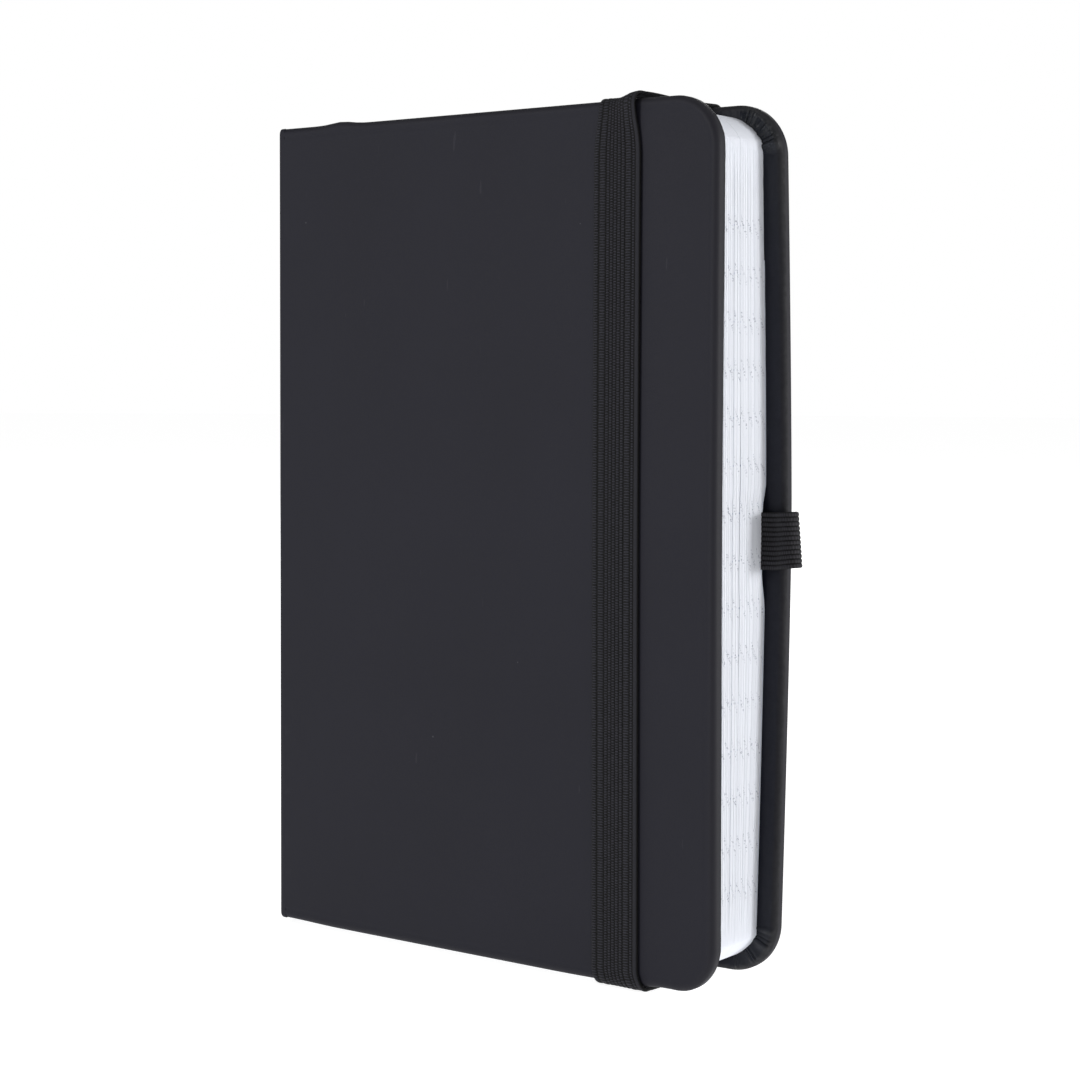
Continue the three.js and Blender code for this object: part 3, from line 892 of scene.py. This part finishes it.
def settle(points, level):
    """Where the page block's points lie: pushed forward by the pen loop, leaning a little at the
    tail, and parted by a hair in the middle of the block. level is 0 at the front and 1 at the back."""
    x, z = points[:, 0], points[:, 2]
    near_loop = smooth(z, LOOP_LOW[2] - 7, LOOP_LOW[2]) * (1 - smooth(z, LOOP_HIGH[2], LOOP_HIGH[2] + 5))
    reach = smooth(x, TAIL_LOW[0] - 7, TAIL_LOW[0] + 2)
    level = np.clip(level, 0, 1)
    placed = points.copy()
    placed[:, 1] -= LOOP_PUSH * near_loop * reach * level**2.2
    placed[:, 1] += level * bowed_out(REAR_PAGES_BOW, x, z) - (1 - level) * bowed_out(FRONT_BOW, x, z)
    part = smooth(z, 42, 60) * (1 - smooth(z, 80, 98)) * smooth(x, 55, 88)
    placed[:, 1] += PARTING * part * np.where(level > 0.502, (1 - level) * 2, -2 * level)
    return placed


def page_panel():
    """The outline of a page."""
    return Panel(PAGE_HIGH[0], PAGE_LOW[2], PAGE_HIGH[2], PAGE_CORNER, PAGE_SWEEP, 40, 14, 90)


def leaf_rings(low, high, order, random):
    """A section's rings, round at the fold, with a groove between leaves, and each ring's leaf."""
    thickness = high[1] - low[1]
    leaf = thickness / LEAVES
    sway = random.uniform(-0.1, 0.1)
    rings, leaves = [], []

    def add(inset, y, number):
        across = abs(y - (low[1] + high[1]) / 2) / (thickness / 2)
        rings.append((low[0] + 0.45 * (1 - math.sqrt(max(0, 1 - across**2))), inset, y))
        leaves.append(order * LEAVES + number)

    for k in range(LEAVES):
        start = low[1] + k * leaf
        cut = sway + random.uniform(0.0, 0.09)
        add(cut, start + 0.12 * leaf, k)
        add(cut, start + 0.88 * leaf, k)
        if k < LEAVES - 1:
            add(cut + 0.1, start + leaf, k + 0.5)
    return rings, leaves


def section_piece(node, order, material, random):
    """One folded section. Its leaves show as fine ridges on the three cut edges, except at the two
    round corners, where the pages lie pressed together."""
    low, high = book_box(node)
    low[1] -= SECTION_FILL if order != LOOSE_SECTION else 0
    high[1] += SECTION_FILL if order != LOOSE_SECTION - 1 else 0
    panel = page_panel()
    rings, leaves = leaf_rings(low, high, order, random)
    depths = [(y - low[1]) / (high[1] - low[1]) for _, _, y in rings]
    first = (rings[0][0] + 0.06, rings[0][1] + 0.02, low[1])
    last = (rings[-1][0] + 0.06, rings[-1][1] + 0.02, high[1])
    cut_edges, faces = panel.shell(first, rings, last)
    pressed = [(x0, 0.05, y) for x0, _, y in (first, *rings, last)]
    plain, _ = panel.shell(pressed[0], pressed[1:-1], pressed[-1])
    from_end = np.minimum(plain[:, 2] - PAGE_LOW[2], PAGE_HIGH[2] - plain[:, 2])
    fanned = 1 - smooth(plain[:, 0], PAGE_HIGH[0] - 14, PAGE_HIGH[0] - 8) * (1 - smooth(from_end, 3, 12))
    points = plain + fanned[:, None] * (cut_edges - plain)

    def per_point(on_front, on_rings, on_back):
        counts = [panel.count[0] * panel.count[1], *([len(panel.loop)] * len(rings))]
        return np.repeat([on_front, *on_rings, on_back], counts + counts[:1])

    stored = {
        "depth": per_point(0.5, depths, 0.5),
        "leaf": per_point(leaves[0], leaves, leaves[-1]),
        "fanned": fanned,
        "cut": per_point(0, np.ones(len(rings)), 0),
    }
    placed = settle(points, (points[:, 1] - BLOCK_FRONT) / (BLOCK_BACK - BLOCK_FRONT))
    piece = add_piece(f"{node}_leaves", placed, faces, [material], stored)
    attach(piece, f"page_section_{order + 1}")
    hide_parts(node)


def flyleaf(side, material):
    """The free leaf of an endpaper, on the front or the back of the page block."""
    low, high = book_box(f"{side}_flyleaf")
    panel = page_panel()
    points, faces = panel.shell((low[0], 0.05, low[1]), [], (low[0], 0.05, high[1]))
    placed = settle(points, np.full(len(points), 0.0 if side == "front" else 1.0))
    piece = add_piece(f"{side}_endpaper_free", placed, faces, [material])
    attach(piece, f"{side}_leaf")
    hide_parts(f"{side}_flyleaf")


# ---- elastic


def ribbed_section(thickness, grooves, relief, samples=7):
    """Across an elastic strip, as (share of the width, height) pairs with round ribs between its
    grooves, on both faces. The second result is the rib that each point lies on."""
    steps = np.linspace(0, len(grooves) - 1, (len(grooves) - 1) * samples + 1)
    u = np.interp(steps, np.arange(len(grooves)), grooves)
    rib_width = np.interp(steps, np.arange(len(grooves) - 1) + 0.5, np.diff(grooves))
    crown = np.abs(np.sin(math.pi * steps)) ** 0.6
    half = thickness / 2 - relief + relief * crown * np.clip(rib_width * 9, 0.6, 1)
    half[[0, -1]] = thickness * 0.18
    under = np.stack([u[::-1] - 0.5, -half[::-1]], 1)
    over = np.stack([u - 0.5, half], 1)
    return np.concatenate([under, over]), np.concatenate([steps[::-1], steps])


def strip_piece(name, centres, outward, across, widths, section, ribs, material, lifts=0.0, thin=1.0):
    """One stretch of elastic, with its weave coordinates stored on it."""
    points, faces = sweep_strip(centres, outward, across, widths, section, lifts, thin)
    steps = np.linalg.norm(np.diff(centres, axis=0), axis=1)
    along = np.concatenate([[0], np.cumsum(steps)])
    count = len(section)
    sideways = np.tile(section[:, 0], len(centres)) * np.repeat(widths, count)
    weave = np.stack([sideways, np.repeat(along, count), np.tile(ribs, len(centres))], 1)
    return add_piece(name, points, faces, [material], {"weave": weave}, sharp=60)


def edge_arc(centre_y, centre_z, radius, start, stop, count):
    """y and z along an arc, and the outward direction at each step. Angles are from +y to +z."""
    angles = np.linspace(start, stop, count)
    ways = np.stack([np.cos(angles), np.sin(angles)], 1)
    return np.array([centre_y, centre_z]) + radius * ways, ways


BAND_LEVEL = BAND_GAP + BAND_THICKNESS / 2
BAND_REACH = EDGE_ROUND + BAND_LEVEL


def band_piece(name, path, ways, x, widths, section, ribs, material, pulled):
    """A stretch of the closure along a y and z path. Where pulled is 1 it is thin, and its far edge
    stands up."""
    centres = np.column_stack([x, path])
    outward = np.column_stack([np.zeros(len(path)), ways])
    across = np.tile([1.0, 0.0, 0.0], (len(path), 1))
    thin = 1 - (1 - BAND_STRETCHED) * pulled
    lifts = BAND_LIFT * pulled
    return strip_piece(name, centres, outward, across, widths, section, ribs, material, lifts, thin)


def band_front_run(material, section, ribs):
    """From the tail edge, up the front cover and over its head edge. The strip slides towards the
    fore-edge and spreads as it goes under the tail, and draws in where it is pulled over the head."""
    low_arc, low_way = edge_arc(EDGE_ROUND, EDGE_ROUND, BAND_REACH, -math.pi / 2, -math.pi, 12)
    high_arc, high_way = edge_arc(EDGE_ROUND, HEIGHT - EDGE_ROUND, BAND_REACH, math.pi, math.pi / 2, 12)
    heights = np.linspace(EDGE_ROUND, HEIGHT - EDGE_ROUND, 260)[1:-1]
    face = np.stack([np.full(len(heights), EDGE_ROUND - BAND_REACH), heights], 1)
    start, end = [[BAND_SPLIT_Y, -BAND_LEVEL]], [[BAND_SPLIT_Y, HEIGHT + BAND_LEVEL]]
    path = np.concatenate([start, low_arc, face, high_arc, end])
    ways = np.concatenate([[[0, -1]], low_way, np.tile([-1.0, 0.0], (len(face), 1)), high_way, [[0, 1]]])
    z = path[:, 1]
    x = BAND_X + TAIL_DRIFT * (1 - smooth(z, -1, 2.5)) + HEAD_DRIFT * smooth(z, HEIGHT - 6, HEIGHT + 1)
    path[:, 0] -= bowed_out(FRONT_BOW, x, z)
    narrow = 1 - HEAD_NARROWING * smooth(z, HEIGHT - 9, HEIGHT + 0.5)
    widths = BAND_WIDTH * narrow * (1 + TAIL_SPREAD * (1 - smooth(z, -1, 3)))
    pulled = smooth(z, HEIGHT - 6, HEIGHT + 0.3)
    return band_piece("elastic_run", path, ways, x, widths, section, ribs, material, pulled)


def band_end(end, material, section, ribs):
    """The arm across the page block, and the anchor: the stretch down the back cover into its slot."""
    is_head = end == "head"
    sign = 1 if is_head else -1
    edge_z, slot_z = (HEIGHT, HEIGHT - SLOT_FROM_EDGE) if is_head else (0.0, SLOT_FROM_EDGE)
    level = edge_z + sign * BAND_LEVEL
    start_x = BAND_X + (HEAD_DRIFT if is_head else TAIL_DRIFT)
    start_width = BAND_WIDTH * (1 - HEAD_NARROWING if is_head else 1 + TAIL_SPREAD)
    turn_y = THICKNESS - EDGE_ROUND

    def piece(name, path, ways):
        share = np.clip((path[:, 0] - BAND_SPLIT_Y) / (THICKNESS - BAND_SPLIT_Y), 0, 1)
        down = np.clip(np.abs(path[:, 1] - level) / 8, 0, 1)
        x = start_x + (BAND_BACK_X - start_x) * share
        relaxed = np.maximum(smooth(share, 0.2, 1.4), smooth(down, 0, 1))
        widths = start_width + (BAND_WIDTH - start_width) * relaxed
        shape, numbers = (section, ribs) if is_head else (section[::-1], ribs[::-1])
        pulled = 1 - smooth(share, 0, 0.8) if is_head else 0 * share
        return band_piece(name, path, ways, x, widths, shape, numbers, material, pulled)

    arm_path = np.stack([np.linspace(BAND_SPLIT_Y, turn_y, 30), np.full(30, level)], 1)
    arm = piece(f"elastic_{end}_arm", arm_path, np.tile([0.0, float(sign)], (30, 1)))

    arc, arc_ways = edge_arc(turn_y, edge_z - sign * EDGE_ROUND, BAND_REACH, sign * math.pi / 2, 0, 12)
    bend = 0.9
    drop = np.linspace(edge_z - sign * EDGE_ROUND, slot_z + sign * bend, 34)[1:]
    face_y = turn_y + BAND_REACH
    face = np.stack([np.full(len(drop), face_y), drop], 1)
    face_ways = np.tile([1.0, 0.0], (len(drop), 1))
    into, into_ways = edge_arc(face_y - bend, slot_z + sign * bend, bend, 0, -sign * math.pi / 2, 8)
    inside = [[THICKNESS - COVER + TURN_IN + 0.2, slot_z]]
    path = np.concatenate([arc, face, into[1:], inside])
    ways = np.concatenate([arc_ways, face_ways, into_ways[1:], [[0.0, -float(sign)]]])
    anchor = piece(f"elastic_{end}_anchor", path, ways)
    return arm, moved(anchor, follow_back_cover)


def follow_back_cover(places):
    """Places on the flat back cover, carried outwards by its bow."""
    out = bowed_out(BACK_BOW, places[:, 0], places[:, 2])
    return places + np.outer(out, [0.0, 1.0, 0.0])


def pen_loop(material):
    """A strip folded back on itself: two layers between the pages and the cover, and a slack fold."""
    section, ribs = ribbed_section(LOOP_STRIP, LOOP_GROOVES, 0.2)
    radius = LOOP_FOLD - LOOP_STRIP / 2
    centre_x = LOOP_HIGH[0] - LOOP_FOLD
    mouth = WIDTH - 1.0
    half = LOOP_STRIP / 2 + 0.02
    back_x = np.concatenate([np.linspace(TAIL_LOW[0], mouth, 26), np.linspace(mouth, centre_x, 14)[1:]])
    back_y = half + (radius - half) * smooth(back_x, mouth, centre_x)
    turns = np.linspace(math.pi / 2, -math.pi / 2, 22)[1:-1]
    fold = np.stack([centre_x + radius * np.cos(turns), radius * np.sin(turns)], 1)
    back = np.stack([back_x, back_y], 1)
    path = np.concatenate([back, fold, back[::-1] * [1, -1]])
    ahead = np.gradient(path, axis=0)
    ahead /= np.linalg.norm(ahead, axis=1)[:, None]
    outward = np.column_stack([-ahead[:, 1], ahead[:, 0], np.zeros(len(path))])
    middle = (LOOP_LOW[2] + LOOP_HIGH[2]) / 2
    centres = np.column_stack([path[:, 0], LOOP_Y + path[:, 1], np.full(len(path), middle)])
    across = np.tile([0.0, 0.0, 1.0], (len(path), 1))
    widths = np.full(len(path), LOOP_HIGH[2] - LOOP_LOW[2])
    piece = strip_piece("pen_loop_strip", centres, outward, across, widths, section, ribs, material)

    def drawn_in(places):
        """The free fold is drawn in towards the cover, more at its upper end."""
        up = (places[:, 2] - LOOP_LOW[2]) / (LOOP_HIGH[2] - LOOP_LOW[2])
        out = smooth(places[:, 0], WIDTH - 1, LOOP_HIGH[0])
        places[:, 0] -= (0.5 + 0.8 * up) * out
        places[:, 2] += 0.6 * out * (1 - 0.6 * up)
        return follow_back_cover(places)

    return moved(piece, drawn_in)


# ---- putting it together


def dress_kept_nodes(thread, gauze, board):
    """Better materials on the nodes whose CAD shape stays."""
    for name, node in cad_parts.items():
        for key, material in (("sewing_thread", thread), ("gauze", gauze), ("spine_board", board)):
            if key in name:
                for place in node.material_slots:
                    place.material = material


def build_covers(skin, turned, board, endpaper):
    """The two covers with what is glued to them, the spine, and the wrap that bends beside it."""
    for side in ("front", "back"):
        body = f"{side}_cover"
        parts = (
            (cover_skin(side, skin, turned), f"{side}_cover_wrap"),
            (cover_board(side, board), f"{side}_board"),
            (pastedown(side, endpaper), f"{side}_pastedown"),
        )
        for piece, node in parts:
            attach(piece, body)
            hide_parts(node)
    spine = spine_skin(skin)
    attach(spine, "spine")
    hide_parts("spine_wrap")
    for side, face_y, inward in (("front", 0.0, 1), ("back", THICKNESS, -1)):
        piece = bend_skin(side, skin)
        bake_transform(piece)


def build_pages(paper, endpaper):
    """The sewn sections and the two flyleaves."""
    random = np.random.default_rng(7)
    for order, node in enumerate(SECTIONS):
        section_piece(node, order, paper, random)
    for side in ("front", "back"):
        flyleaf(side, endpaper)


def build_elastic():
    """The closure and the pen loop."""
    elastic = elastic_material("closure_elastic", tone(49, 49, 56), 1.0, len(BAND_GROOVES) - 2)
    # The loop gets a lighter crest colour than the closure: painted light, making up for the dimmer light
    # that reaches it at the fore-edge.
    loop_elastic_painted_lighter = elastic_material("loop_elastic_painted_lighter", tone(55, 54, 58), 0.5, len(LOOP_GROOVES))
    section, ribs = ribbed_section(BAND_THICKNESS, BAND_GROOVES, 0.14)
    run = band_front_run(elastic, section, ribs)
    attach(run, "closure_band")
    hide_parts("elastic_front_run")
    for end in ("head", "tail"):
        arm, anchor = band_end(end, elastic, section, ribs)
        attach(anchor, "back_cover")
        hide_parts(f"elastic_{end}_end")
        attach(arm, "back_cover")
        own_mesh(arm)
    loop = pen_loop(loop_elastic_painted_lighter)
    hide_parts("pen_loop", "pen_loop_tail")
    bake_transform(loop)


make_camera()
make_studio()
build_covers(cover_material(), turn_in_material(), board_material(), endpaper_material())
build_pages(page_material(), endpaper_material())
build_elastic()
dress_kept_nodes(thread_material(), gauze_material(), board_material())
